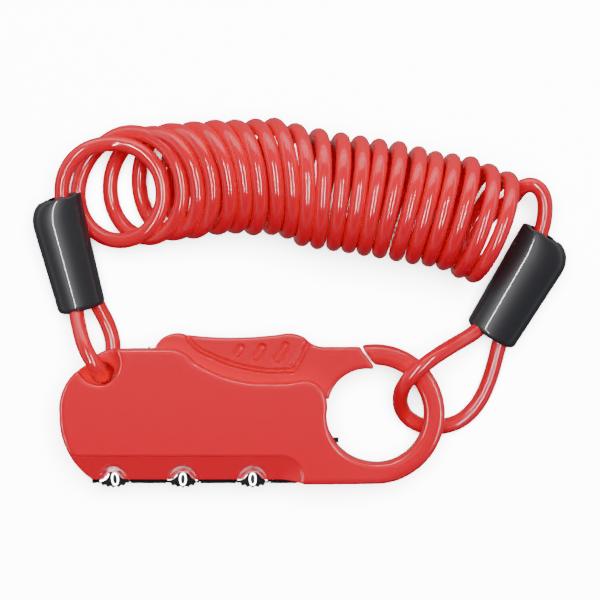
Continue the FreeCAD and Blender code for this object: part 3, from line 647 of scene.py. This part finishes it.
# turn, centre X, centre Y, radius, yaw and lean of the turn's plane in degrees
STATIONS = [
    (0.25, -28.2, 45.3, 10.0, -3, 75), (0.75, -27.2, 45.6, 10.2, -8, 70),
    (1.0, -25.3, 46.5, 11.4, -10, 64), (1.25, -23.9, 46.7, 11.2, -12, 56),
    (1.75, -21.6, 46.9, 10.7, -12.5, 54), (2.25, -18.7, 47.2, 10.5, -13, 44),
    (2.75, -16.8, 47.4, 10.6, -12, 43), (3.25, -15.0, 47.65, 10.75, -11, 39),
    (4.25, -9.75, 48.15, 10.4, -10.5, 28), (5.25, -5.75, 48.6, 10.3, -9, 23),
    (6.25, -1.75, 48.3, 10.5, -6, 17.5), (7.25, 2.3, 48.5, 10.5, -5, 14),
    (8.25, 5.9, 48.4, 10.75, -4, 12), (9.25, 9.7, 46.7, 10.9, 1.4, 9),
    (10.25, 13.7, 45.9, 10.85, 6, 5), (11.25, 17.7, 45.3, 10.7, 9, 3),
    (12.25, 21.1, 44.8, 10.7, 11, 4), (13.25, 24.7, 44.2, 10.7, 13, 2),
    (14.25, 28.3, 43.7, 10.85, 15.6, 2), (15.25, 32.1, 42.8, 10.6, 17.5, 2),
    (16.25, 35.4, 42.0, 10.5, 17.6, 2), (17.25, 38.9, 41.6, 10.6, 17.8, 2),
    (18.25, 42.4, 41.0, 10.6, 20, 4), (19.25, 45.8, 39.3, 10.7, 22, 9),
    (20.25, 49.6, 37.9, 10.6, 22.6, 8)]
TURN_POINTS = 14
FIRST_POINT, LAST_POINT = 0.0, 20.79
# the first turn lies on top of the next ones: how far it starts above where it would lie alone
FIRST_LIFT = 5.6


def coil_point(turn):
    """The cable's place after so many turns, between the stations on either side."""
    at, *values = zip(*STATIONS)
    cx, cy, radius, yaw, lean = (float(np.interp(turn, at, row)) for row in values)
    yaw, lean = math.radians(yaw), math.radians(lean)
    across = Vector((math.sin(yaw), math.cos(yaw), 0))
    along = Vector((math.cos(yaw), -math.sin(yaw), 0))
    upright = Vector((0, 0, 1)) * math.cos(lean) + along * math.sin(lean)
    centre = Vector((cx, cy, radius * math.cos(lean) + CORD / 2 + FIRST_LIFT * max(0, 1 - turn)))
    reach = radius / math.cos(math.pi / TURN_POINTS)
    phase = math.tau * turn
    return centre + across * (reach * math.cos(phase)) + upright * (reach * math.sin(phase))


def coil_points():
    count = round((LAST_POINT - FIRST_POINT) * TURN_POINTS)
    return [coil_point(FIRST_POINT + i / TURN_POINTS) for i in range(count + 1)]


def cable_curve(name, route):
    """One curve object through the route's points, as thick as the cord."""
    line = bpy.data.curves.new(name, "CURVE")
    line.dimensions = "3D"
    line.bevel_depth = CORD / 2 * MM
    line.bevel_resolution = 5
    line.resolution_u = 4
    line.use_fill_caps = True
    spline = line.splines.new("NURBS")
    spline.points.add(len(route) - 1)
    for knot, point in zip(spline.points, route):
        knot.co = (*(point * MM), 1)
    spline.order_u = 3
    spline.use_endpoint_u = True
    piece = bpy.data.objects.new(name, line)
    bpy.context.scene.collection.objects.link(piece)
    return piece


route = [Vector(p) for p in LOOP_LEFT[::-1] + LEAD_LEFT]
route += coil_points()
route += [Vector(p) for p in LEAD_RIGHT + LOOP_RIGHT]
cable = cable_curve("coiled_cable", route)
finish_as(cable, "cable_red")
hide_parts("cable_loop_left", "cable_lead_left", "cable_coil", "cable_lead_right", "cable_loop_right")
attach(cable, "root")
Vector(route[0]) * MM


# ---------------------------------------------------------------- camera, lights and floor

scene = bpy.context.scene
SENSOR = 36
CAMERA_PLACE = (0.00983, 0.02298, 0.600)
VIEW_LEVEL, VIEW_WIDTH = 0.011, 0.1242      # the picture is this wide at this height, in metres
camera_data = bpy.data.cameras.new("camera")
camera_data.sensor_width = SENSOR
camera_data.lens = SENSOR * (CAMERA_PLACE[2] - VIEW_LEVEL) / VIEW_WIDTH
camera = bpy.data.objects.new("camera", camera_data)
camera.location = CAMERA_PLACE
scene.collection.objects.link(camera)
scene.camera = camera

LAMP_AIM = (0, 0.02, 0)


def light(name, place, width, depth, power, aim=LAMP_AIM, diffuse=True, glossy=True, only=None):
    """An area light that faces aim, its width square to Y; only is a collection of what it shines on."""
    data = bpy.data.lights.new(name, "AREA")
    data.shape = "RECTANGLE"
    data.size, data.size_y, data.energy = width, depth, power
    lamp = bpy.data.objects.new(name, data)
    lamp.visible_diffuse, lamp.visible_glossy = diffuse, glossy
    back = (Vector(place) - Vector(aim)).normalized()
    side = Vector((0, 1, 0)).cross(back).normalized()
    turned = Matrix((side, back.cross(side), back)).transposed().to_4x4()
    lamp.matrix_world = Matrix.Translation(place) @ turned
    scene.collection.objects.link(lamp)
    if only is not None:
        lamp.light_linking.receiver_collection = only


def receivers(name, *pieces):
    """A collection of the pieces that a lamp shines on."""
    collection = bpy.data.collections.new(name)
    for piece in pieces:
        collection.objects.link(bpy.data.objects[piece])
    return collection


only_cable = receivers("only_cable", "coiled_cable")
cable_and_sleeves = receivers("cable_and_sleeves", "coiled_cable", "heatshrink_left", "heatshrink_right")
only_casting = receivers("only_casting", "casting_front", "casting_back", "casting_gate")
light("key", (0.05, 0.14, 0.60), 0.5, 0.3, 3.0, glossy=False)
light("strip_left", (-0.19, -0.03, 0.55), 0.016, 0.6, 5.5, diffuse=False, only=cable_and_sleeves)
light("strip_right", (0.21, -0.03, 0.55), 0.016, 0.6, 5.5, diffuse=False, only=only_cable)
light("case_left", (-0.62, 0.0, 0.36), 0.04, 0.6, 5.0, diffuse=False, only=only_casting)
light("case_right", (0.55, 0.02, 0.45), 0.04, 0.6, 5.0, diffuse=False, only=only_casting)
light("case_back", (0.0, 0.62, 0.36), 0.9, 0.03, 4.0, diffuse=False, only=only_casting)
light("case_front", (0.0, -0.62, 0.22), 0.8, 0.014, 0.5, diffuse=False, only=only_casting)
light("back_box", (0.0, 0.80, 0.40), 0.9, 0.4, 3.0, diffuse=False)
light("floor_light", (0.05, 0.15, 1.0), 0.8, 0.8, 150.0, aim=(0.02, 0.02, 0), only=bright_white)

# height from straight down (0) over the horizon (0.5) to straight up (1), and brightness there
SKY_STOPS = [(0.0, 0.5), (0.49, 0.7), (0.51, 3.5), (0.63, 2.6), (0.71, 0.8), (0.92, 0.5), (0.97, 0.12)]
SKY_LEVEL, SKY_TILT = 0.42, 0.8


def sky():
    """A light tent: bright low down and towards the back, dim straight overhead."""
    world = bpy.data.worlds.new("tent")
    world.use_nodes = True
    nodes, links = world.node_tree.nodes, world.node_tree.links
    place, split, height, ramp, tilt, level = (nodes.new(kind) for kind in (
        "ShaderNodeTexCoord", "ShaderNodeSeparateXYZ", "ShaderNodeMapRange", "ShaderNodeValToRGB",
        "ShaderNodeMath", "ShaderNodeMath"))
    links.new(place.outputs["Generated"], split.inputs[0])
    links.new(split.outputs["Z"], height.inputs[0])
    height.inputs["From Min"].default_value = -1
    links.new(height.outputs[0], ramp.inputs[0])
    stops = ramp.color_ramp.elements
    for place_in_sky, _ in SKY_STOPS[1:-1]:
        stops.new(place_in_sky)
    for stop, (place_in_sky, brightness) in zip(stops, SKY_STOPS):
        stop.position = place_in_sky
        stop.color = (brightness, brightness, brightness, 1)
    tilt.operation = "MULTIPLY_ADD"
    tilt.inputs[1].default_value = SKY_TILT
    tilt.inputs[2].default_value = 1.0
    links.new(split.outputs["Y"], tilt.inputs[0])
    level.operation = "MULTIPLY"
    level.inputs[1].default_value = SKY_LEVEL
    links.new(tilt.outputs[0], level.inputs[0])
    background = nodes["Background"]
    links.new(ramp.outputs[0], background.inputs["Color"])
    links.new(level.outputs[0], background.inputs["Strength"])
    return world


scene.world = sky()

bpy.ops.mesh.primitive_plane_add(size=4)
floor = bpy.context.object
floor.name = "floor"
floor.data.materials.append(plain("floor_white", (1.0, 1.0, 1.0), rough=0.7))
floor.visible_diffuse = floor.visible_glossy = False
bright_white.objects.link(floor)
